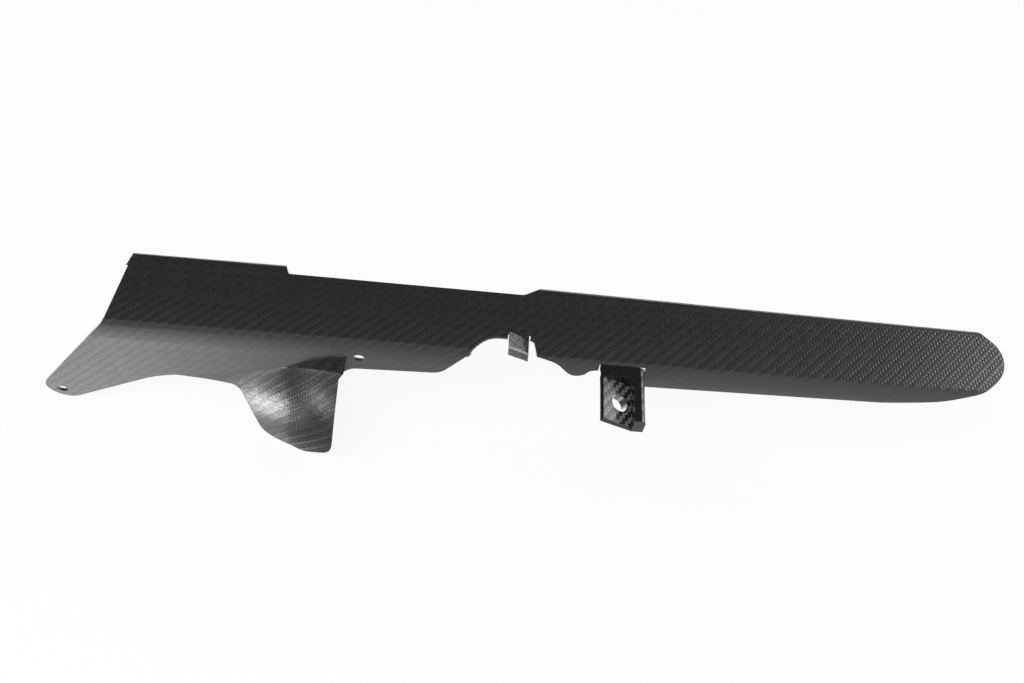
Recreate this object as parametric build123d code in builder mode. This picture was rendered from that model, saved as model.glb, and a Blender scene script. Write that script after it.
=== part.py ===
"""Motorcycle chain guard: a carbon moulding with a bonded bracket, its sleeve and a hook tab.

x runs rearward along the chain, y runs inboard, z runs up. The origin is the centre of the middle bolt hole
on the outer face of the skirt. Millimetres.
"""
import os
from math import hypot
from build123d import *

# Laminate and section
wall = 2.0
panel_top = 18.0
front_width = 55.6
join_width = 54.4
rear_width = 48.6
front_fold = 2.2
rear_fold = 0.7
lip_height = 14.0
lip_bend = 0.8
stub_lap = 1.5

# Stations along the guard
front_corner = -155.0
front_lean = 4.0
lip_rake = 9.0
join_station = 90.0
rear_end = 413.4

# Bolt holes in the skirt
bolt_hole = 7.0
front_bolt_x = -212.0
front_bolt_z = -75.0
lug_radius = 12.6

# Wing and fin
wing_arch_x = -127.0
wing_arch_z = -42.0
fin_rear_x = -13.0
fin_ledge_x = -51.0
fin_ledge = 8.0
fin_root_z = -6.5
fin_flare = 36.9
fin_depth = 92.4
fin_corner = 10.0
fin_tuck = 0.2

# Lower edges of the skirt
mid_skirt = 12.0
lobe_skirt = 0.3
rear_skirt = 7.3
rear_rise = 4.4

# Relief in the lip
relief_start = -51.0
relief_end = 101.6
relief_depth = 7.9
relief_ramp = 19.0

# Rounded notch for the tab
notch_start = 69.0
notch_end = 111.0
notch_depth = 13.0

# Hook tab
tab_x = 93.4
tab_width = 13.0
tab_drop = 6.6
tab_proud = 2.0
tab_thick = 2.0
tab_reach = 11.0
tab_lip = 5.5
tab_foot = 18.0
tab_gap = 0.6
tab_bed = 3.3

# Rear bracket and its sleeve
bracket_x = 151.4
bracket_width = 28.0
bracket_reach = 37.5
bracket_plate = 3.0
bracket_fall = 10.8
bracket_ledge = 7.5
bracket_rim = 7.0
bracket_foot = 32.0
bracket_gap = 0.4
pocket_corner = 5.0
rim_round = 3.4
floor_round = 1.8
sleeve_bore = 11.0
sleeve_wall = 0.8
sleeve_length = 6.0

# Levels and places that follow from the sizes above
panel_under = panel_top - wall
above = panel_top + 8.0
front_stub = panel_under - front_fold
rear_stub = panel_under - rear_fold
lip_foot = panel_top - lip_height
lip_zone = front_width - wall - lip_bend
wing_point = (front_bolt_x - 49.0, front_bolt_z - 43.7)
wing_lean = (front_corner - wing_point[0]) / (panel_top - wing_point[1])
fold_zone = wall + front_fold
fin_tail = fin_rear_x + 4.0
skirt_end = notch_start - 0.3
fin_front = (fin_ledge_x + wing_arch_x) / 2
fin_end = -fin_depth - 3.0
relief_edge = front_width - relief_depth
tab_inner = notch_depth + tab_bed
bracket_end = bracket_x + bracket_width
tip_start = rear_end - 16.0
rear_run = rear_end - join_station
rear_taper = join_width - rear_width
rear_middle = rear_width / 2
tip_width = join_width - rear_taper * (tip_start - join_station) / rear_run

os.makedirs("parts", exist_ok=True)

# Relief in the lip, and the notch with its slot for the tab, as one cutting shape
with BuildPart() as cutouts:
    with BuildSketch(Plane.XY.offset(lip_foot - 1)):
        with BuildLine():
            FilletPolyline(
                (relief_start - 3, front_width + 2),
                (relief_start, relief_edge),
                (relief_end, relief_edge - 1.2),
                (relief_end + relief_ramp, front_width + 2),
                radius=(2.5, 6),
            )
            Line((relief_end + relief_ramp, front_width + 2), (relief_start - 3, front_width + 2))
        make_face()
    extrude(amount=above - lip_foot + 1)
    with BuildSketch(Plane.XY.offset(lip_foot)):
        with BuildLine():
            Spline(
                (notch_start - 1, -1),
                (notch_start + 10.7, 0.84 * notch_depth),
                (notch_start + 19, notch_depth),
                tangents=((0.7, 0.7), (1, 0)),
            )
            FilletPolyline(
                (notch_start + 19, notch_depth),
                (notch_end - 2, notch_depth),
                (notch_end, 0.25 * notch_depth),
                (notch_end + 1, -1),
                radius=(3, 0),
            )
            Line((notch_end + 1, -1), (notch_start - 1, -1))
        make_face()
        with Locations((tab_x + tab_width / 2, notch_depth)):
            Rectangle(
                tab_width + 2 * tab_gap,
                tab_bed + tab_gap,
                align=(Align.CENTER, Align.MIN),
            )
    extrude(amount=above - lip_foot)

# Front half: channel with the wide fold, then the skirt plate with the wing
with BuildPart() as front_half:
    with BuildSketch(Plane.YZ.offset(front_corner - lip_rake)):
        with BuildLine():
            FilletPolyline(
                (0, front_stub - stub_lap),
                (0, panel_top),
                (front_width, panel_top),
                (front_width, lip_foot),
                (front_width - wall, lip_foot),
                (front_width - wall, panel_under),
                (wall, panel_under),
                (wall, front_stub - stub_lap),
                radius=(0, front_fold + wall, lip_bend + wall, 0, 0, lip_bend, front_fold, 0),
                close=True,
            )
        make_face()
    extrude(amount=join_station - front_corner + lip_rake)
    with BuildSketch(Plane.XZ.offset(1)):
        with BuildLine():
            Polyline(
                (front_corner, above),
                (front_corner, panel_top),
                (front_corner - wing_lean * (panel_top - lip_foot), lip_foot),
                (front_corner - lip_rake - 2, lip_foot),
                (front_corner - lip_rake - 2, above),
                close=True,
            )
        make_face()
    extrude(amount=-(fold_zone + 1), mode=Mode.SUBTRACT)
    with BuildSketch(Plane.XY.offset(lip_foot)):
        with BuildLine():
            Polyline(
                (front_corner, fold_zone),
                (front_corner + front_lean, lip_zone),
                (front_corner - lip_rake - 2, lip_zone),
                (front_corner - lip_rake - 2, fold_zone),
                close=True,
            )
        make_face()
    extrude(amount=above - lip_foot, mode=Mode.SUBTRACT)
    with BuildSketch(Plane.XZ.offset(-lip_zone)):
        with BuildLine():
            Polyline(
                (front_corner + front_lean, above),
                (front_corner + front_lean, panel_top),
                (front_corner + front_lean - lip_rake, lip_foot),
                (front_corner + front_lean - 1.1 * lip_rake, lip_foot - 0.1 * lip_height),
                (front_corner - lip_rake - 2, lip_foot - 0.1 * lip_height),
                (front_corner - lip_rake - 2, above),
                close=True,
            )
        make_face()
    extrude(amount=-(front_width - lip_zone + 1), mode=Mode.SUBTRACT)
    with BuildSketch(Plane.XZ):
        with BuildLine():
            FilletPolyline(
                (skirt_end, front_stub),
                (front_corner - wing_lean * (panel_top - front_stub), front_stub),
                wing_point,
                (wing_arch_x - 23, wing_arch_z - 9.4),
                radius=(0, lug_radius),
            )
            Spline(
                (wing_arch_x - 23, wing_arch_z - 9.4),
                (wing_arch_x, wing_arch_z),
                (fin_front, fin_root_z - 28),
                (fin_ledge_x, fin_root_z - 14),
                (fin_rear_x - 7, fin_root_z - 3),
                tangents=((0.85, 0.53), (0.93, 0.36)),
            )
            FilletPolyline(
                (fin_rear_x - 7, fin_root_z - 3),
                (fin_rear_x - 7, -mid_skirt - 13),
                (fin_rear_x - 1, -mid_skirt - 10),
                (fin_rear_x + 7, -mid_skirt - 2),
                (notch_start - 17.5, -mid_skirt + 1.2),
                (skirt_end, front_stub),
                radius=(0, 0, 9, 12),
            )
        make_face()
    extrude(amount=-wall)
    add(cutouts.part, mode=Mode.SUBTRACT)
    with BuildSketch(Plane.XZ.offset(1)):
        Circle(bolt_hole / 2)
        with Locations((front_bolt_x, front_bolt_z)):
            Circle(bolt_hole / 2)
    extrude(amount=-wall - 2, mode=Mode.SUBTRACT)

# Flared fin: thin sections that swing outward toward the rear, trimmed to the fin's side outline
# Each section has its station, the height of its root, the width of its ledge and its share of the full flare
fin_start_section = (wing_arch_x, wing_arch_z + 4, -0.5 * fin_tuck, 0.0)
fin_front_section = (fin_front, fin_root_z - 27, -0.5 * fin_tuck, 0.31)
fin_ledge_section = (fin_ledge_x, fin_root_z - 13, -0.5 * fin_tuck, 0.64)
fin_middle_section = ((fin_ledge_x + fin_tail) / 2, fin_root_z - 4.5, 0.55 * fin_ledge, 0.83)
fin_tail_section = (fin_tail, fin_root_z, 1.1 * fin_ledge, 1.02)
with BuildPart() as fin:
    for group in (
        (fin_start_section, fin_front_section, fin_ledge_section),
        (fin_ledge_section, fin_middle_section, fin_tail_section),
    ):
        for station, root, ledge, share in group:
            face_y = fin_tuck - ledge
            back_y = face_y + wall - 2 * fin_tuck
            swing = share * fin_flare
            with BuildSketch(Plane.YZ.offset(station)):
                with BuildLine():
                    Polyline((wall - fin_tuck, root + 3), (fin_tuck, root + 3), (fin_tuck, root), (face_y, root - 0.5))
                    Bezier(
                        (face_y, root - 0.5),
                        (face_y - 0.1 * swing, root - 9),
                        (face_y - 0.84 * swing, root - 34),
                        (face_y - swing, fin_end),
                    )
                    Line((face_y - swing, fin_end), (back_y - swing, fin_end))
                    Bezier(
                        (back_y - swing, fin_end),
                        (back_y - 0.84 * swing, root - 36),
                        (back_y - 0.1 * swing, root - 11),
                        (back_y, root - wall - 0.5),
                    )
                    Polyline(
                        (back_y, root - wall - 0.5),
                        (wall - fin_tuck, root - wall),
                        (wall - fin_tuck, root + 3),
                    )
                make_face()
        loft()
    with BuildSketch(Plane.XZ.offset(-wall - 1)):
        with BuildLine():
            FilletPolyline(
                (wing_arch_x - 2, above),
                (wing_arch_x - 2, wing_arch_z),
                (fin_front + 5.5, wing_arch_z - 2.5),
                (fin_ledge_x - 2 * fin_corner, -fin_depth + 6.2),
                (fin_ledge_x + 0.35 * fin_corner, -fin_depth),
                (fin_rear_x - 5.9, -fin_depth + 24),
                (fin_rear_x + 0.7, fin_root_z - 5),
                (fin_tail + 0.2, fin_root_z),
                (fin_tail + 0.2, above),
                radius=(0, 9, 1.3 * fin_corner, 2.4 * fin_corner, 2.2 * fin_corner, 0, 0),
            )
            Line((fin_tail + 0.2, above), (wing_arch_x - 2, above))
        make_face()
    extrude(amount=fin_flare + 2 * fin_ledge + wall + 10, mode=Mode.INTERSECT)

# Rear half: channel with the tight fold and a lip that runs inward toward the tip, then the two skirt plates
with BuildPart() as rear_half:
    with BuildSketch(Plane.YZ.offset(join_station)):
        with BuildLine():
            FilletPolyline(
                (0, rear_stub - stub_lap),
                (0, panel_top),
                (rear_middle, panel_top),
                (rear_middle, panel_under),
                (wall, panel_under),
                (wall, rear_stub - stub_lap),
                radius=(0, rear_fold + wall, 0, 0, rear_fold, 0),
                close=True,
            )
        make_face()
    extrude(amount=rear_run)
    with BuildSketch(Plane.YZ.offset(join_station)):
        with BuildLine():
            FilletPolyline(
                (rear_middle - 6, panel_top),
                (join_width, panel_top),
                (join_width, lip_foot),
                (join_width - wall, lip_foot),
                (join_width - wall, panel_under),
                (rear_middle - 6, panel_under),
                radius=(0, lip_bend + wall, 0, 0, lip_bend, 0),
                close=True,
            )
        make_face()
    extrude(amount=hypot(rear_run, rear_taper), dir=(rear_run, -rear_taper, 0))
    with BuildSketch(Plane.XZ):
        with BuildLine():
            Polyline(
                (notch_end, rear_stub),
                (bracket_x - bracket_gap, rear_stub),
                (bracket_x - bracket_gap, -lobe_skirt - 2),
                (notch_end, -lobe_skirt - 2),
                close=True,
            )
        make_face()
        with BuildLine():
            Polyline(
                (rear_end - 24, rear_stub),
                (bracket_end + bracket_gap, rear_stub),
                (bracket_end + bracket_gap, -rear_skirt),
                (rear_end - 78, -rear_skirt + rear_rise),
                (rear_end - 24, -rear_skirt + rear_rise),
                close=True,
            )
        make_face()
    extrude(amount=-wall)
    with BuildSketch(Plane.XZ.offset(1)):
        with BuildLine():
            Spline(
                (notch_end - 3, panel_top - 0.4),
                (notch_end + 7, panel_top - 2),
                (notch_end + 15.5, 0.57 * panel_top),
                (notch_end + 26.5, -lobe_skirt),
                (notch_end + 32.4, lobe_skirt + 2.2),
                (bracket_x - bracket_gap, panel_top - 9.6),
                tangents=((1, -0.05), (1, 0.1)),
            )
            Polyline(
                (bracket_x - bracket_gap, panel_top - 9.6),
                (bracket_x - bracket_gap, -lobe_skirt - 3),
                (notch_end - 3, -lobe_skirt - 3),
                (notch_end - 3, panel_top - 0.4),
            )
        make_face()
        with BuildLine():
            Spline(
                (rear_end - 78, -rear_skirt + rear_rise),
                (rear_end - 57, -rear_skirt + rear_rise + 3.3),
                (rear_end - 36.4, panel_top - 11.6),
                (rear_end - 25.1, panel_top - 3.7),
                (rear_end - 19, panel_top - 0.4),
                tangents=((1, 0.09), (1, 0.3)),
            )
            Polyline(
                (rear_end - 19, panel_top - 0.4),
                (rear_end - 12, panel_top - 0.4),
                (rear_end - 12, -rear_skirt),
                (rear_end - 78, -rear_skirt),
                (rear_end - 78, -rear_skirt + rear_rise),
            )
        make_face()
    extrude(amount=-(wall + rear_fold + 1), mode=Mode.SUBTRACT)
    with BuildSketch(Plane.XZ.offset(1)):
        with BuildLine():
            FilletPolyline(
                (bracket_x - bracket_gap, rear_stub - 2 * stub_lap),
                (bracket_x - bracket_gap, panel_under),
                (bracket_end + bracket_gap, panel_under),
                (bracket_end + bracket_gap, rear_stub - 2 * stub_lap),
                radius=(0, 0.5 * rear_fold),
            )
            Line(
                (bracket_end + bracket_gap, rear_stub - 2 * stub_lap),
                (bracket_x - bracket_gap, rear_stub - 2 * stub_lap),
            )
        make_face()
    extrude(amount=-(wall + rear_fold + 2), mode=Mode.SUBTRACT)
    add(cutouts.part, mode=Mode.SUBTRACT)
    with BuildSketch(Plane.XY.offset(lip_foot - 1)):
        with BuildLine():
            Spline(
                (tip_start, tip_width),
                (rear_end - 8.5, 0.91 * rear_width),
                (rear_end - 1.6, 0.735 * rear_width),
                (rear_end - 0.1, 0.53 * rear_width),
                (rear_end - 4.3, 0.297 * rear_width),
                (rear_end - 13.7, 0.1 * rear_width),
                (rear_end - 22.5, -1),
                tangents=((1, -0.12), (-0.85, -0.53)),
            )
            Polyline(
                (rear_end - 22.5, -1),
                (rear_end - 22.5, -3),
                (rear_end + 8, -3),
                (rear_end + 8, rear_width + 12),
                (tip_start, rear_width + 12),
                (tip_start, tip_width),
            )
        make_face()
    extrude(amount=above - lip_foot + 1, mode=Mode.SUBTRACT)

# The finished shell: both halves and the fin in one laminate
with BuildPart() as guard_shell:
    add(front_half.part)
    add(rear_half.part)
    add(fin.part)
guard_shell.part.label = "guard_shell"
export_step(guard_shell.part, "parts/guard_shell.step")

# Rear bracket: a wedge with a flat ledge and a raised rim round a sloping pocket, and a flat foot under the panel
slope_run = bracket_width - bracket_rim
slope_length = hypot(slope_run, bracket_fall)
slope_normal = (bracket_fall / slope_length, 0, slope_run / slope_length)
slope_along = (slope_run / slope_length, 0, -bracket_fall / slope_length)
sleeve_share = 0.62
sleeve_centre = (
    bracket_x + sleeve_share * slope_run,
    -(bracket_ledge + bracket_reach) / 2,
    panel_under - sleeve_share * bracket_fall,
)
plate_plane = Plane(origin=sleeve_centre, x_dir=slope_along, z_dir=slope_normal)
sleeve_outer = sleeve_bore / 2 + sleeve_wall

with BuildPart() as pocket:
    with BuildSketch(Plane.XY.offset(panel_under - 2 * bracket_fall)) as pocket_plan:
        with BuildLine():
            FilletPolyline(
                (bracket_x - 1, -bracket_ledge),
                (bracket_x + slope_run, -bracket_ledge),
                (bracket_x + slope_run, -bracket_reach - 1),
                (bracket_x - 1, -bracket_reach - 1),
                radius=(0, pocket_corner, 0, 0),
                close=True,
            )
        make_face()
    extrude(amount=2 * bracket_fall + 2)
    split(bisect_by=plate_plane, keep=Keep.TOP)

with BuildPart() as rear_bracket:
    with BuildSketch(Plane.XZ):
        with BuildLine():
            FilletPolyline(
                (bracket_x, panel_under),
                (bracket_end, panel_under),
                (bracket_end, panel_under - bracket_fall - bracket_plate),
                (bracket_x + slope_run, panel_under - bracket_fall - bracket_plate),
                (bracket_x, panel_under - bracket_plate),
                radius=(0, rim_round, 0, 0, 0),
                close=True,
            )
        make_face()
    extrude(amount=bracket_reach)
    add(pocket.part, mode=Mode.SUBTRACT)
    floor_face = rear_bracket.faces().sort_by_distance(sleeve_centre)[0]
    front_edge = floor_face.edges().sort_by(Axis.X)[0]
    outer_edge = floor_face.edges().sort_by(Axis.Y)[0]
    fillet((front_edge, outer_edge), radius=floor_round)
    with Locations((bracket_x, 0, panel_under)):
        Box(
            bracket_width - rim_round,
            bracket_foot,
            bracket_plate,
            align=(Align.MIN, Align.MIN, Align.MAX),
        )
    with BuildSketch(plate_plane.offset(bracket_plate)):
        Circle(sleeve_outer)
    extrude(amount=-3 * bracket_plate, mode=Mode.SUBTRACT)
rear_bracket.part.label = "rear_bracket"
export_step(rear_bracket.part, "parts/rear_bracket.step")

# Sleeve in the bracket's plate, its rim just proud of the pocket's floor
with BuildPart() as bracket_sleeve:
    with BuildSketch(plate_plane.offset(0.25)):
        Circle(sleeve_outer)
        Circle(sleeve_bore / 2, mode=Mode.SUBTRACT)
    extrude(amount=-sleeve_length)
bracket_sleeve.part.label = "bracket_sleeve"
export_step(bracket_sleeve.part, "parts/bracket_sleeve.step")

# Hook tab: a strip that falls toward the rear, bent down at its outer end, on a foot bonded under the panel
tab_outer = tab_inner - tab_reach
tab_high = panel_top + tab_proud
tab_low = tab_high - tab_drop
tab_run = hypot(tab_width, tab_drop)
foot_under = panel_under - tab_thick
with BuildPart() as hook_tab:
    with BuildSketch(Plane.YZ.offset(tab_x)):
        with BuildLine():
            FilletPolyline(
                (tab_inner, tab_high),
                (tab_outer, tab_high),
                (tab_outer - 0.6 * tab_lip, tab_high - 0.8 * tab_lip),
                (tab_outer - 0.6 * tab_lip + 0.7 * tab_thick, tab_high - 0.8 * tab_lip - 0.7 * tab_thick),
                (tab_outer + 0.6 * tab_thick, tab_high - tab_thick),
                (tab_inner, tab_high - tab_thick),
                radius=(0, 1.2 * tab_thick, 0, 0, 0.2 * tab_thick, 0),
                close=True,
            )
        make_face()
    extrude(amount=tab_run, dir=(tab_width, 0, -tab_drop))
    with BuildSketch(Plane.XZ.offset(-tab_inner + 2.5)):
        with BuildLine():
            Polyline(
                (tab_x, panel_under),
                (tab_x + tab_width * (tab_high - panel_under) / tab_drop, panel_under),
                (tab_x + tab_width, tab_low),
                (tab_x + tab_width, tab_low - tab_thick),
                (tab_x, tab_low - tab_thick),
                close=True,
            )
        make_face()
    extrude(amount=-6.5)
    with Locations((tab_x + tab_width / 2, tab_inner + 1.5, panel_under)):
        Box(
            tab_width + 8,
            tab_foot,
            tab_thick,
            align=(Align.CENTER, Align.MIN, Align.MAX),
        )
hook_tab.part.label = "hook_tab"
export_step(hook_tab.part, "parts/hook_tab.step")
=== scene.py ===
"""Looks for a motorcycle chain guard: twill carbon, a gloss bracket, a metal sleeve and a metal tab."""
import math

import bmesh
import bpy
import numpy as np
from mathutils import Matrix, Vector


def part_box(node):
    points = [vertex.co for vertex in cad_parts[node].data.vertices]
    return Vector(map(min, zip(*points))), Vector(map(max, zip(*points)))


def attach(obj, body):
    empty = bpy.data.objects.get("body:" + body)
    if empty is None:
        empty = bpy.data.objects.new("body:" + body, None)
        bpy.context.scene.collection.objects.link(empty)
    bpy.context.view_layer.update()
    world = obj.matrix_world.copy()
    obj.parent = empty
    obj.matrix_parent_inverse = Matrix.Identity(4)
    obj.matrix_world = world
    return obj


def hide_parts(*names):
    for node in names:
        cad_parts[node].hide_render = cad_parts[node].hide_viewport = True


bl_info = {
    "name": "Chain Guard Looks",
    "version": (1, 0, 0),
    "blender": (4, 5, 0),
    "location": "3D View > Sidebar > Chain Guard",
    "description": "Carbon weave, metal finishes and a plain stage for a motorcycle chain guard",
    "category": "Material",
}

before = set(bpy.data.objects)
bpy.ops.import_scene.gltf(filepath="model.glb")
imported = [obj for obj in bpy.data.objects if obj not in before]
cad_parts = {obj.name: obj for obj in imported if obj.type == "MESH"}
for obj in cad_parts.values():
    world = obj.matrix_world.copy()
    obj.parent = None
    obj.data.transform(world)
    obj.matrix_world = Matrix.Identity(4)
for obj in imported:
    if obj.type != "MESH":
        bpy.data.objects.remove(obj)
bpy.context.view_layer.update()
SHELL_LOW, SHELL_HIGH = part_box("guard_shell")
PANEL_TOP = float(SHELL_HIGH[2])
LIP_FACE = float(SHELL_HIGH[1])
FLOOR_LEVEL = float(SHELL_LOW[2])

# The rear lip lies further outboard than the front one and draws in toward the tail.
REAR_LIP_START = 0.06
REAR_LIP_FACE = 0.0540
REAR_TAPER_START = 0.11
REAR_TAPER = 0.0177
LIP_WALL = 0.0026
LIP_BEND = 0.0045
CHANNEL_MIDDLE = 0.03

# The skirt's outer face lies at y = 0, and the fin flares outboard of it.
SKIRT_FACE = 0.0003
FOLD_SIDE = 0.001
FOLD_REACH = 0.02
FIN_ROOT = -0.002
FIN_SHINE_END = -0.045
# The painted sheen that pales the weft fades out toward this distance inboard of the fold.
PAINTED_SHEEN_REACH = 0.028

# Outward normal of the bracket's sloping plate.
SLOPE = (0.4573, 0.0, 0.8893)

# Radii at which edges look rounded.
CARBON_EDGE = 0.0007
SLEEVE_EDGE = 0.0003
TAB_EDGE = 0.0006

WELD_DISTANCE = 0.00001

FLOOR_HALF = 6.0
FLOOR_DROP = 0.0002
EDGE_SHARE = 0.35
CAMERA_PLACE = (0.0783, -0.2825, 0.4852)
CAMERA_AHEAD = (0.031, 0.531, -0.847)
CAMERA_RIGHT = (0.996, 0.053, 0.070)
SENSOR_WIDTH = 36.0
CLIP_START = 0.01


class LaminateSettings(bpy.types.PropertyGroup):
    """Sizes and tones of the carbon cloth and its lacquer."""

    tow_width: bpy.props.FloatProperty(
        name="Tow Width",
        description="Width of one flat bundle of fibres in the cloth",
        default=0.002,
        unit="LENGTH",
    )
    tow_arch: bpy.props.FloatProperty(
        name="Tow Arch",
        description="How far the surface leans at the edges of a bundle, as a slope",
        default=0.24,
        subtype="FACTOR",
    )
    float_arch: bpy.props.FloatProperty(
        name="Float Arch",
        description="How far the surface leans at the ends of a bundle's float, as a slope",
        default=0.30,
        subtype="FACTOR",
    )
    fibre_tone: bpy.props.FloatVectorProperty(
        name="Fibre Tone",
        description="Colour of the carbon fibre under the lacquer",
        default=(0.021, 0.021, 0.022),
        subtype="COLOR",
        size=3,
    )
    gap_tone: bpy.props.FloatVectorProperty(
        name="Gap Tone",
        description="Colour of the resin in the gaps between bundles",
        default=(0.006, 0.006, 0.006),
        subtype="COLOR",
        size=3,
    )
    satin: bpy.props.FloatProperty(
        name="Satin Roughness",
        description="Roughness of the satin lacquer on the shell",
        default=0.30,
        subtype="FACTOR",
    )
    gloss: bpy.props.FloatProperty(
        name="Gloss Roughness",
        description="Roughness of the gloss lacquer on the bracket",
        default=0.08,
        subtype="FACTOR",
    )


class MetalSettings(bpy.types.PropertyGroup):
    """Tones of the sleeve and the tab."""

    sleeve_tone: bpy.props.FloatVectorProperty(
        name="Sleeve Tone",
        description="Colour of the turned aluminium sleeve",
        default=(0.38, 0.38, 0.39),
        subtype="COLOR",
        size=3,
    )
    tab_tone: bpy.props.FloatVectorProperty(
        name="Tab Tone",
        description="Colour of the dull steel tab",
        default=(0.22, 0.22, 0.22),
        subtype="COLOR",
        size=3,
    )


class StageSettings(bpy.types.PropertyGroup):
    """Floor, lamps and camera."""

    floor_tone: bpy.props.FloatVectorProperty(
        name="Floor Tone",
        description="Colour of the pale floor",
        default=(0.96, 0.96, 0.96),
        subtype="COLOR",
        size=3,
    )
    key_power: bpy.props.FloatProperty(
        name="Key Power",
        description="Power of the large soft lamp overhead on the left",
        default=14.0,
        unit="POWER",
    )
    fin_power: bpy.props.FloatProperty(
        name="Fin Power",
        description="Power of the low lamp in the fin's shine; the one at its rear edge takes a share",
        default=0.0007,
        unit="POWER",
    )
    rear_power: bpy.props.FloatProperty(
        name="Rear Power",
        description="Power of the soft lamp beyond the rear end",
        default=1.2,
        unit="POWER",
    )
    sky_strength: bpy.props.FloatProperty(
        name="Sky Strength",
        description="Strength of the even light from all round",
        default=0.5,
    )
    focal_length: bpy.props.FloatProperty(
        name="Focal Length",
        description="Focal length of the camera in millimetres on a 36 mm sensor",
        default=31.04,
    )


class Wire:
    """A shader socket that takes part in Python arithmetic: each operator adds one Math node."""

    def __init__(self, graph, socket):
        self.graph = graph
        self.socket = socket

    def _math(self, operation, *terms):
        node = self.graph.add("ShaderNodeMath", {"operation": operation}, dict(enumerate(terms)))
        return Wire(self.graph, node.outputs[0])

    def __add__(self, other):
        return self._math("ADD", self, other)

    def __radd__(self, other):
        return self._math("ADD", other, self)

    def __sub__(self, other):
        return self._math("SUBTRACT", self, other)

    def __rsub__(self, other):
        return self._math("SUBTRACT", other, self)

    def __mul__(self, other):
        return self._math("MULTIPLY", self, other)

    def __rmul__(self, other):
        return self._math("MULTIPLY", other, self)

    def __truediv__(self, other):
        return self._math("DIVIDE", self, other)

    def __mod__(self, other):
        return self._math("FLOORED_MODULO", self, other)

    def __gt__(self, other):
        return self._math("GREATER_THAN", self, other)

    def __lt__(self, other):
        return self._math("LESS_THAN", self, other)

    def floor(self):
        return self._math("FLOOR", self)

    def size(self):
        return self._math("ABSOLUTE", self)

    def least(self, other):
        return self._math("MINIMUM", self, other)

    def most(self, other):
        return self._math("MAXIMUM", self, other)

    def unit(self):
        """Kept between 0 and 1."""
        return self.most(0.0).least(1.0)


class Graph:
    """A material's or a world's node tree, cleared, with one method that adds any node."""

    def __init__(self, owner):
        owner.use_nodes = True
        self.tree = owner.node_tree
        self.tree.nodes.clear()

    def add(self, kind, settings=None, inputs=None):
        """Adds a node of that type, sets its settings, then fills its sockets with values or links."""
        node = self.tree.nodes.new(kind)
        for name, value in (settings or {}).items():
            setattr(node, name, value)
        for key, value in (inputs or {}).items():
            socket = node.inputs[key]
            if isinstance(value, Wire):
                self.tree.links.new(value.socket, socket)
            else:
                socket.default_value = value
        return node

    def wire(self, node, output=0):
        """The named or numbered output of a node, ready for arithmetic."""
        return Wire(self, node.outputs[output])

    def blend(self, factor, first, second):
        """A colour between two colours."""
        node = self.add("ShaderNodeMix", {"data_type": "RGBA"}, {0: factor, 6: first, 7: second})
        return self.wire(node, 2)

    def noise(self, vector, scale, detail=2.0, rough=0.5):
        """Smooth noise from 0 to 1 on a vector."""
        inputs = {"Vector": vector, "Scale": scale, "Detail": detail, "Roughness": rough}
        return self.wire(self.add("ShaderNodeTexNoise", {}, inputs), "Fac")

    def vector(self, x, y, z):
        """A vector from three values."""
        return self.wire(self.add("ShaderNodeCombineXYZ", {}, {0: x, 1: y, 2: z}))

    def parts(self, vector):
        """The three values of a vector."""
        node = self.add("ShaderNodeSeparateXYZ", {}, {0: vector})
        return [self.wire(node, k) for k in range(3)]

    def arrow(self, operation, *terms):
        """Vector arithmetic that gives a vector."""
        node = self.add("ShaderNodeVectorMath", {"operation": operation}, dict(enumerate(terms)))
        return self.wire(node, 0)

    def scaled(self, vector, factor):
        """A vector made longer or shorter by a value."""
        inputs = {"Vector": vector, "Scale": factor}
        return self.wire(self.add("ShaderNodeVectorMath", {"operation": "SCALE"}, inputs), 0)

    def dot(self, first, second):
        """The share of one vector along another."""
        node = self.add("ShaderNodeVectorMath", {"operation": "DOT_PRODUCT"}, {0: first, 1: second})
        return self.wire(node, 1)


def shade(tone, factor=1.0):
    """A colour property as four numbers, made darker or lighter."""
    return (factor * tone[0], factor * tone[1], factor * tone[2], 1.0)


def twill(graph, along, across, tow_arch, float_arch):
    """Two-by-two twill, with both coordinates counted in bundles.

    A cell's place on the diagonal is k = (column - row) mod 4. The bundle that runs along lies on top
    where k is 0 or 1, and the one that runs across where k is 2 or 3. The top bundle is arched over its
    width and over its two-cell float, so its surface leans outward in proportion to the distance from
    its middle. Bundles that run along were pulled tighter and are flatter. Returns the lean along, the
    lean across, the mask of the bundles that run along, the gaps and a number for each bundle.
    """
    column = along.floor()
    row = across.floor()
    in_column = along - column
    in_row = across - row
    k = (column - row) % 4.0
    top = k < 1.5
    under = 1.0 - top
    width_along = 2.0 * in_row - 1.0
    width_across = 2.0 * in_column - 1.0
    float_along = k + in_column - 1.0
    float_across = 2.0 - k + in_row
    lean_along = under * width_across * tow_arch + top * float_along * float_arch * 0.4
    lean_across = top * width_along * tow_arch * 0.4 + under * float_across * float_arch
    edge = (top * width_along + under * width_across).size()
    gap = (edge * 5.0 - 4.0).unit()
    seed = top * (row * 1.37 + 211.3) + under * (column * 1.73)
    bundle = graph.wire(graph.add("ShaderNodeTexWhiteNoise", {"noise_dimensions": "1D"}, {"W": seed}), 0)
    return lean_along, lean_across, top, gap, bundle


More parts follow.
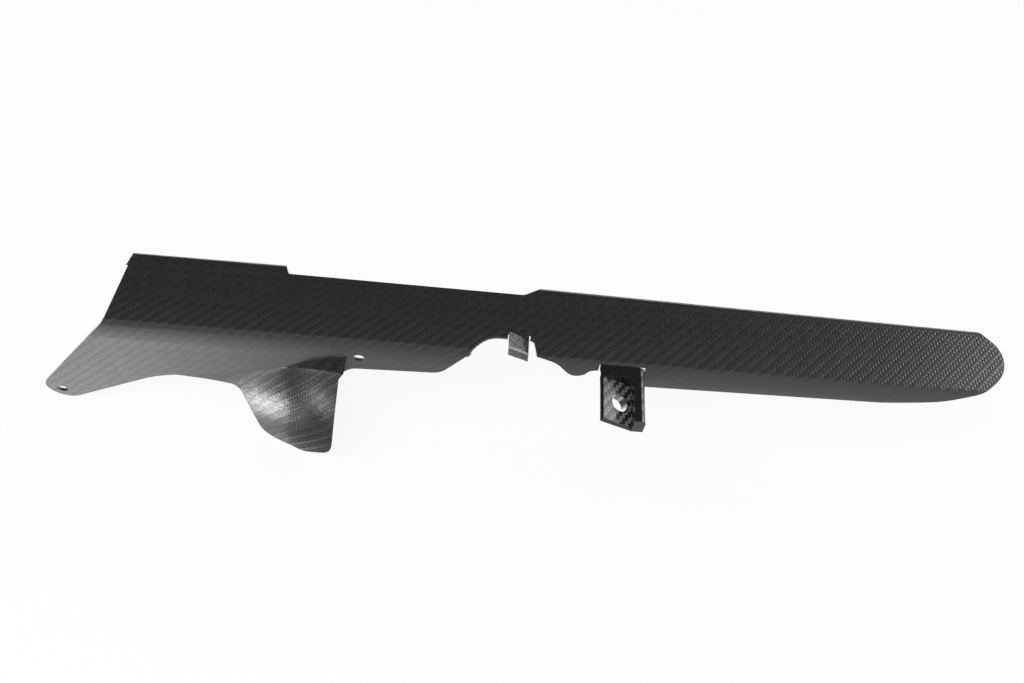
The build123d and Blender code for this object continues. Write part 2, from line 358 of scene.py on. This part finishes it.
def shell_zones(graph, place, facing):
    """Where the shell's cloth lies and how it shows.

    The cloth's second coordinate is y + z, which carries the weave round the fold without a seam. On
    the outward fin only 0.4 of y counts, which is nearly the arc length, and on the lip z counts
    downward. A tilt of the normal, inboard along the lip's bend and upward below the fold, softens
    both. The weave shows in full on the panel, by half on the fin, less in the fin's shine, faintly on
    the skirt and the ledge, and not at the lip's bend. Returns the coordinate, the tilt, the share of
    the weave that shows and the mask of the bare faces inside the channel.
    """
    x, y, z = graph.parts(place)
    _, face_y, face_z = graph.parts(facing)
    taper = (x - REAR_TAPER_START).most(0.0) * REAR_TAPER
    inboard = y + (x > REAR_LIP_START) * (LIP_FACE - REAR_LIP_FACE + taper)
    lip = inboard > LIP_FACE - LIP_WALL
    cloth = y + z - 0.6 * y.least(0.0) + lip * (2.0 * PANEL_TOP - 2.0 * z)
    skirt_side = (face_y > 0.25) * (1.0 - lip)
    underside = face_z < -0.5
    lip_side = (face_y < -0.5) * (y > CHANNEL_MIDDLE)
    inner = (skirt_side + underside + lip_side).unit()

    rolled = ((inboard - LIP_FACE + LIP_BEND) * 300.0).unit() * (face_z > 0.3)
    slant = ((z - PANEL_TOP + FOLD_REACH) * 44.0).unit() - face_z
    fold = slant.most(0.0) * (face_y < -0.3) * (y < FOLD_SIDE)
    tilt = graph.vector(0.0, rolled * 1.1, fold)

    flare = ((FIN_ROOT - y) * 250.0).unit() * (face_z < 0.6)
    outer = ((face_z > 0.6) + (face_y < -0.5)).least(1.0)
    faint = (y < SKIRT_FACE) * outer * (1.0 - flare)
    shine = ((FIN_SHINE_END - x) * 60.0).unit()
    shown = (1.0 - 0.7 * faint - (0.5 + 0.3 * shine) * flare) * (1.0 - rolled)
    return cloth, tilt, shown, inner


def carbon(name, roughness, coat, coat_roughness, shell):
    """Carbon cloth under lacquer, for the shell or else for the bracket.

    The cloth runs along x, and each bundle leans the normal by its arch. Bundles that run across are
    paler: on the shell a little everywhere, which is the weave's own tone, and much more toward the
    fold and over the skirt and fin, which is painted sheen; on the bracket's sloping plate by much,
    which is painted reflection. Off that plate the bracket's cloth is darkened to nearly black gloss,
    which is painted shade. Faces inside the shell are the bare, duller side of the moulding.
    """
    laminate = bpy.context.scene.guard_laminate
    fibre_tone = laminate.fibre_tone
    material = bpy.data.materials.new(name)
    graph = Graph(material)
    place = graph.wire(graph.add("ShaderNodeTexCoord"), "Object")
    x, y, z = graph.parts(place)
    facing = graph.wire(graph.add("ShaderNodeNewGeometry"), "Normal")
    normal = graph.wire(graph.add("ShaderNodeBevel", {"samples": 4}, {"Radius": CARBON_EDGE}))
    if shell:
        cloth, tilt, shown, inner = shell_zones(graph, place, facing)
        normal = graph.arrow("NORMALIZE", graph.arrow("ADD", normal, tilt))
    else:
        cloth = y + z
        plate = graph.dot(facing, SLOPE) > 0.97
        shown = 0.1 + 0.6 * plate
    along = x / laminate.tow_width
    across = cloth / laminate.tow_width
    lean_along, lean_across, top, gap, bundle = twill(
        graph, along, across, laminate.tow_arch, laminate.float_arch
    )

    up_cloth = graph.arrow("NORMALIZE", graph.arrow("CROSS_PRODUCT", normal, (1.0, 0.0, 0.0)))
    along_cloth = graph.arrow("CROSS_PRODUCT", up_cloth, normal)
    leaning = graph.arrow("ADD", graph.scaled(along_cloth, lean_along), graph.scaled(up_cloth, lean_across))
    woven = graph.arrow("NORMALIZE", graph.arrow("ADD", normal, graph.scaled(leaning, shown)))

    fibre_along = graph.noise(graph.vector(along * 0.2, across * 7.0, 0.0), 1.0)
    fibre_across = graph.noise(graph.vector(along * 7.0, across * 0.2, 7.0), 1.0)
    streak = top * fibre_along + (1.0 - top) * fibre_across
    patch = graph.noise(place, 45.0, 3.0)
    scuff = graph.noise(place, 500.0, 4.0, 0.65)
    mixed = (streak * 0.45 + bundle * 0.35 + patch * 0.2).unit()
    fibre = graph.blend(mixed, shade(fibre_tone, 0.6), shade(fibre_tone, 1.4))
    rough = roughness + (bundle - 0.5) * 0.08 + (scuff - 0.5) * 0.10 + gap * 0.06
    if shell:
        # Painted sheen: the weft is a little paler everywhere, which is the weave's own tone, and much paler
        # from about 8 mm inboard of the fold outward over the skirt and fin.
        fold_sheen = 0.08 + 0.5 * ((PAINTED_SHEEN_REACH - y) * 50.0).unit()
        fibre = graph.blend(fold_sheen * (1.0 - top), fibre, shade(fibre_tone, 2.0))
        rough = rough + inner * 0.2
        weight = (1.0 - inner) * (0.82 + 0.36 * top) * coat
    else:
        outboard = graph.parts(facing)[1] < -0.6
        # Painted reflection and painted shade: on the sloping plate the weft is made nine times paler,
        # standing for glints on the gloss weave, and off the plate the cloth is darkened to about a third of
        # the fibre tone.
        fibre = graph.blend(plate * (1.0 - top), fibre, shade(fibre_tone, 9.0))
        fibre = graph.blend(plate, shade(fibre_tone, 0.35), fibre)
        rough = rough + plate * 0.1
        weight = (1.0 - 0.6 * plate - 0.7 * outboard) * coat
    tone = graph.blend(gap * 0.6, fibre, shade(laminate.gap_tone))
    bump = graph.add(
        "ShaderNodeBump",
        {},
        {"Strength": 0.18, "Distance": 0.00005, "Height": streak * 0.7 + scuff * 0.3, "Normal": woven},
    )
    surface = graph.add(
        "ShaderNodeBsdfPrincipled",
        {},
        {
            "Base Color": tone,
            "Roughness": rough.unit(),
            "Normal": graph.wire(bump),
            "IOR": 1.5,
            "Specular IOR Level": 0.8,
            "Coat Weight": weight,
            "Coat Roughness": coat_roughness,
            "Coat IOR": 1.5,
        },
    )
    graph.add("ShaderNodeOutputMaterial", {}, {"Surface": graph.wire(surface)})
    return material


def turned_metal(name, tone):
    """Satin turned aluminium with fine grain and cloudy wear."""
    material = bpy.data.materials.new(name)
    graph = Graph(material)
    place = graph.wire(graph.add("ShaderNodeTexCoord"), "Object")
    grain = graph.noise(place, 2400.0, 2.0)
    cloud = graph.noise(place, 300.0, 3.0)
    tint = graph.blend(cloud, shade(tone, 0.8), shade(tone, 1.1))
    normal = graph.wire(graph.add("ShaderNodeBevel", {"samples": 4}, {"Radius": SLEEVE_EDGE}))
    bump = graph.add(
        "ShaderNodeBump",
        {},
        {"Strength": 0.25, "Distance": 0.00003, "Height": grain, "Normal": normal},
    )
    surface = graph.add(
        "ShaderNodeBsdfPrincipled",
        {},
        {"Base Color": tint, "Metallic": 1.0, "Roughness": 0.18 + cloud * 0.2, "Normal": graph.wire(bump)},
    )
    graph.add("ShaderNodeOutputMaterial", {}, {"Surface": graph.wire(surface)})
    return material


def dull_steel(name, tone):
    """Dull steel with cloudy stains and fine grit, paler at the edges, partly as rubbed wear and partly as
    painted highlight, and with a painted highlight along the bend.
    """
    material = bpy.data.materials.new(name)
    graph = Graph(material)
    place = graph.wire(graph.add("ShaderNodeTexCoord"), "Object")
    cloud = graph.noise(place, 700.0, 4.0, 0.6)
    grit = graph.noise(place, 1900.0, 3.0, 0.6)
    stain_and_glint = graph.blend((cloud * 3.6 - 1.3).unit(), shade(tone, 0.4), shade(tone, 1.3))
    normal = graph.wire(graph.add("ShaderNodeBevel", {"samples": 4}, {"Radius": TAB_EDGE}))
    facing = graph.wire(graph.add("ShaderNodeNewGeometry"), "Normal")
    outboard = graph.parts(facing)[1]
    # Painted highlight: a band across the bend, picked by which way the faces point. The paler edges are also
    # painted highlight, and partly stand for rubbed wear.
    bend = (outboard < -0.3) * (outboard > -0.7) * 0.7
    wear_and_glint = ((1.0 - graph.dot(normal, facing)) * 8.0).unit().most(bend)
    stain_and_glint = graph.blend(wear_and_glint * 0.8, stain_and_glint, shade(tone, 3.0))
    bump = graph.add(
        "ShaderNodeBump",
        {},
        {"Strength": 0.5, "Distance": 0.00008, "Height": cloud * 0.6 + grit * 0.4, "Normal": normal},
    )
    surface = graph.add(
        "ShaderNodeBsdfPrincipled",
        {},
        {"Base Color": stain_and_glint, "Metallic": 0.75, "Roughness": 0.22 + grit * 0.2, "Normal": graph.wire(bump)},
    )
    graph.add("ShaderNodeOutputMaterial", {}, {"Surface": graph.wire(surface)})
    return material


def pale_floor(name, tone):
    """A floor that shows nearly white to the eye and keeps the object's shadow."""
    material = bpy.data.materials.new(name)
    graph = Graph(material)
    path = graph.add("ShaderNodeLightPath")
    seen = graph.wire(path, "Is Camera Ray").most(graph.wire(path, "Is Glossy Ray"))
    seen = seen.most(graph.wire(path, "Is Transmission Ray"))
    matt = graph.add("ShaderNodeBsdfDiffuse", {}, {"Color": shade(tone)})
    glow = graph.add("ShaderNodeEmission", {}, {"Color": (1.0, 1.0, 1.0, 1.0), "Strength": 1.0})
    mix = graph.add("ShaderNodeMixShader", {}, {0: seen * 0.9, 1: graph.wire(matt), 2: graph.wire(glow)})
    graph.add("ShaderNodeOutputMaterial", {}, {"Surface": graph.wire(mix)})
    return material


def smooth_copy(node, name, material, sharp):
    """Puts a merged copy in a node's place, smooth except at edges sharper than the given angle.

    Normals are weighted by face size, so that flat faces stay flat and narrow ones take up the turn.
    """
    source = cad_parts[node]
    mesh = bpy.data.meshes.new(name)
    work = bmesh.new()
    work.from_mesh(source.data)
    bmesh.ops.remove_doubles(work, verts=work.verts, dist=WELD_DISTANCE)
    for face in work.faces:
        face.smooth = True
    for edge in work.edges:
        edge.smooth = edge.calc_face_angle(math.pi) < math.radians(sharp)
    work.to_mesh(mesh)
    work.free()
    if "custom_normal" in mesh.attributes:
        mesh.attributes.remove(mesh.attributes["custom_normal"])
    mesh.materials.clear()
    mesh.materials.append(material)
    mesh.polygons.foreach_set("material_index", np.zeros(len(mesh.polygons), dtype=np.int32))
    piece = bpy.data.objects.new(name, mesh)
    bpy.context.scene.collection.objects.link(piece)
    weigh = piece.modifiers.new("weigh", "WEIGHTED_NORMAL")
    weigh.mode = "FACE_AREA"
    weigh.weight = 60
    weigh.keep_sharp = True
    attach(piece, "root")
    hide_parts(node)


class GUARD_OT_shell(bpy.types.Operator):
    """Give the moulded shell its satin twill"""

    bl_idname = "guard.shell"
    bl_label = "Dress Shell"

    def execute(self, context):
        laminate = context.scene.guard_laminate
        satin = laminate.satin
        material = carbon("satin_twill", roughness=satin, coat=0.5, coat_roughness=satin, shell=True)
        smooth_copy("guard_shell", "twill_shell", material, sharp=30.0)
        return {"FINISHED"}


class GUARD_OT_bracket(bpy.types.Operator):
    """Give the bonded bracket its gloss twill"""

    bl_idname = "guard.bracket"
    bl_label = "Dress Bracket"

    def execute(self, context):
        laminate = context.scene.guard_laminate
        gloss = laminate.gloss
        material = carbon("gloss_twill", roughness=0.3, coat=1.0, coat_roughness=gloss, shell=False)
        smooth_copy("rear_bracket", "twill_bracket", material, sharp=25.0)
        return {"FINISHED"}


class GUARD_OT_metal(bpy.types.Operator):
    """Give the sleeve and the hook tab their metal finishes"""

    bl_idname = "guard.metal"
    bl_label = "Dress Metal"

    def execute(self, context):
        metal = context.scene.guard_metal
        sleeve = turned_metal("turned_sleeve", metal.sleeve_tone)
        smooth_copy("bracket_sleeve", "metal_sleeve", sleeve, sharp=38.0)
        tab = dull_steel("dull_tab", metal.tab_tone)
        smooth_copy("hook_tab", "metal_tab", tab, sharp=25.0)
        return {"FINISHED"}


def soft_lamp(name, place, target, size, power, spread=180.0):
    """A rectangular lamp, out of sight, that looks from its place to its target, with a spread in degrees."""
    lamp = bpy.data.lights.new(name, "AREA")
    lamp.shape = "RECTANGLE"
    lamp.size, lamp.size_y = size
    lamp.energy = power
    lamp.spread = math.radians(spread)
    piece = bpy.data.objects.new(name, lamp)
    bpy.context.scene.collection.objects.link(piece)
    piece.location = place
    piece.rotation_euler = (Vector(target) - Vector(place)).to_track_quat("-Z", "Y").to_euler()
    piece.visible_camera = False
    return piece


def even_sky(strength):
    """A plain sky for diffuse light, which for reflections is a dark room over a pale table.

    The room is a little lighter in front and beyond the rear end. The table is brightest behind the guard and
    toward the front end, and ends on that side.
    """
    world = bpy.data.worlds.new("even_sky")
    world.cycles.sampling_method = "NONE"
    graph = Graph(world)
    heading = graph.wire(graph.add("ShaderNodeTexCoord"), "Generated")
    path = graph.add("ShaderNodeLightPath")
    glossy = graph.wire(path, "Is Glossy Ray")
    seen = graph.wire(path, "Is Camera Ray")
    right, back, up = graph.parts(heading)
    below = ((0.05 - up) * 4.0).unit()
    in_front = (-4.0 * back).unit()
    past_rear = (right - 0.3).most(0.0)
    room = 0.045 + 0.34 * in_front + 1.1 * past_rear
    on_table = ((right + 0.53) * 12.0).unit()
    past_front = (-0.21 - right).most(0.0)
    table = 0.1 + on_table * (0.42 + 6.3 * past_front) + 2.5 * back.most(0.0)
    mirror = room * (1.0 - below) + table * below
    level = seen + (1.0 - seen) * (glossy * mirror + (1.0 - glossy) * strength)
    light = graph.add("ShaderNodeBackground", {}, {"Color": (1.0, 1.0, 1.0, 1.0), "Strength": level})
    graph.add("ShaderNodeOutputWorld", {}, {"Surface": graph.wire(light)})
    return world


def lay_floor(tone):
    """A square floor just below the guard, flat at one height.

    It stays out of reflections, and casts no shadow, so that the low lamp shines through it.
    """
    half = FLOOR_HALF
    corners = np.array([(-half, -half), (half, -half), (half, half), (-half, half)])
    ground = np.column_stack((corners, np.full(4, FLOOR_LEVEL - FLOOR_DROP)))
    mesh = bpy.data.meshes.new("floor")
    mesh.from_pydata(ground.tolist(), [], [(0, 1, 2, 3)])
    mesh.materials.append(pale_floor("pale_floor", tone))
    floor = bpy.data.objects.new("floor", mesh)
    bpy.context.scene.collection.objects.link(floor)
    floor.visible_glossy = False
    floor.visible_shadow = False


def hang_lamps(stage):
    """A key lamp that doesn't show in the lacquer, two small lamps for the fin and one for the rear end."""
    key = soft_lamp(
        "key_lamp",
        place=(-0.51, -0.56, 1.39),
        target=(0.05, 0.0, 0.0),
        size=(0.9, 0.9),
        power=stage.key_power,
    )
    key.visible_glossy = False
    soft_lamp(
        "fin_lamp",
        place=(-0.127, -0.083, -0.109),
        target=(-0.066, -0.010, -0.061),
        size=(0.024, 0.024),
        power=stage.fin_power,
        spread=25.0,
    )
    soft_lamp(
        "edge_lamp",
        place=(-0.088, -0.077, -0.051),
        target=(-0.025, -0.017, -0.030),
        size=(0.02, 0.02),
        power=stage.fin_power * EDGE_SHARE,
        spread=34.0,
    )
    soft_lamp(
        "rear_lamp",
        place=(0.907, 0.30, 0.372),
        target=(0.25, 0.0, 0.015),
        size=(0.24, 0.35),
        power=stage.rear_power,
    )


def aim_camera(focal_length):
    """The photograph's camera, from its place and two of its axes."""
    camera = bpy.data.cameras.new("photo_camera")
    camera.lens = focal_length
    camera.sensor_width = SENSOR_WIDTH
    camera.clip_start = CLIP_START
    camera.dof.use_dof = False
    piece = bpy.data.objects.new("photo_camera", camera)
    bpy.context.scene.collection.objects.link(piece)
    ahead = Vector(CAMERA_AHEAD).normalized()
    up = Vector(CAMERA_RIGHT).cross(ahead).normalized()
    right = ahead.cross(up)
    turn = Matrix((right, up, -ahead)).transposed().to_4x4()
    piece.matrix_world = Matrix.Translation(CAMERA_PLACE) @ turn
    bpy.context.scene.camera = piece


class GUARD_OT_stage(bpy.types.Operator):
    """Set the floor, the soft lamps, the even sky and the camera"""

    bl_idname = "guard.stage"
    bl_label = "Set Stage"

    def execute(self, context):
        stage = context.scene.guard_stage
        context.scene.view_settings.view_transform = "Standard"
        lay_floor(stage.floor_tone)
        hang_lamps(stage)
        context.scene.world = even_sky(stage.sky_strength)
        aim_camera(stage.focal_length)
        return {"FINISHED"}


class GUARD_PT_sidebar(bpy.types.Panel):
    """Lists the guard's operators and settings"""

    bl_idname = "GUARD_PT_sidebar"
    bl_label = "Chain Guard"
    bl_space_type = "VIEW_3D"
    bl_region_type = "UI"
    bl_category = "Chain Guard"

    def draw(self, context):
        for operator in OPERATORS:
            self.layout.operator(operator.bl_idname)
        for group in (context.scene.guard_laminate, context.scene.guard_metal, context.scene.guard_stage):
            box = self.layout.box()
            for name in group.__annotations__:
                box.prop(group, name)


SETTINGS = (
    ("guard_laminate", LaminateSettings),
    ("guard_metal", MetalSettings),
    ("guard_stage", StageSettings),
)
OPERATORS = (GUARD_OT_shell, GUARD_OT_bracket, GUARD_OT_metal, GUARD_OT_stage)


def register():
    """Registers the settings, the operators and the panel."""
    for name, group in SETTINGS:
        bpy.utils.register_class(group)
        setattr(bpy.types.Scene, name, bpy.props.PointerProperty(type=group))
    for entry in OPERATORS + (GUARD_PT_sidebar,):
        bpy.utils.register_class(entry)


def unregister():
    """Takes everything out again."""
    for entry in reversed(OPERATORS + (GUARD_PT_sidebar,)):
        bpy.utils.unregister_class(entry)
    for name, group in reversed(SETTINGS):
        delattr(bpy.types.Scene, name)
        bpy.utils.unregister_class(group)


def main():
    """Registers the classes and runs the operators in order."""
    register()
    bpy.ops.guard.shell()
    bpy.ops.guard.bracket()
    bpy.ops.guard.metal()
    bpy.ops.guard.stage()


if __name__ == "__main__":
    main()
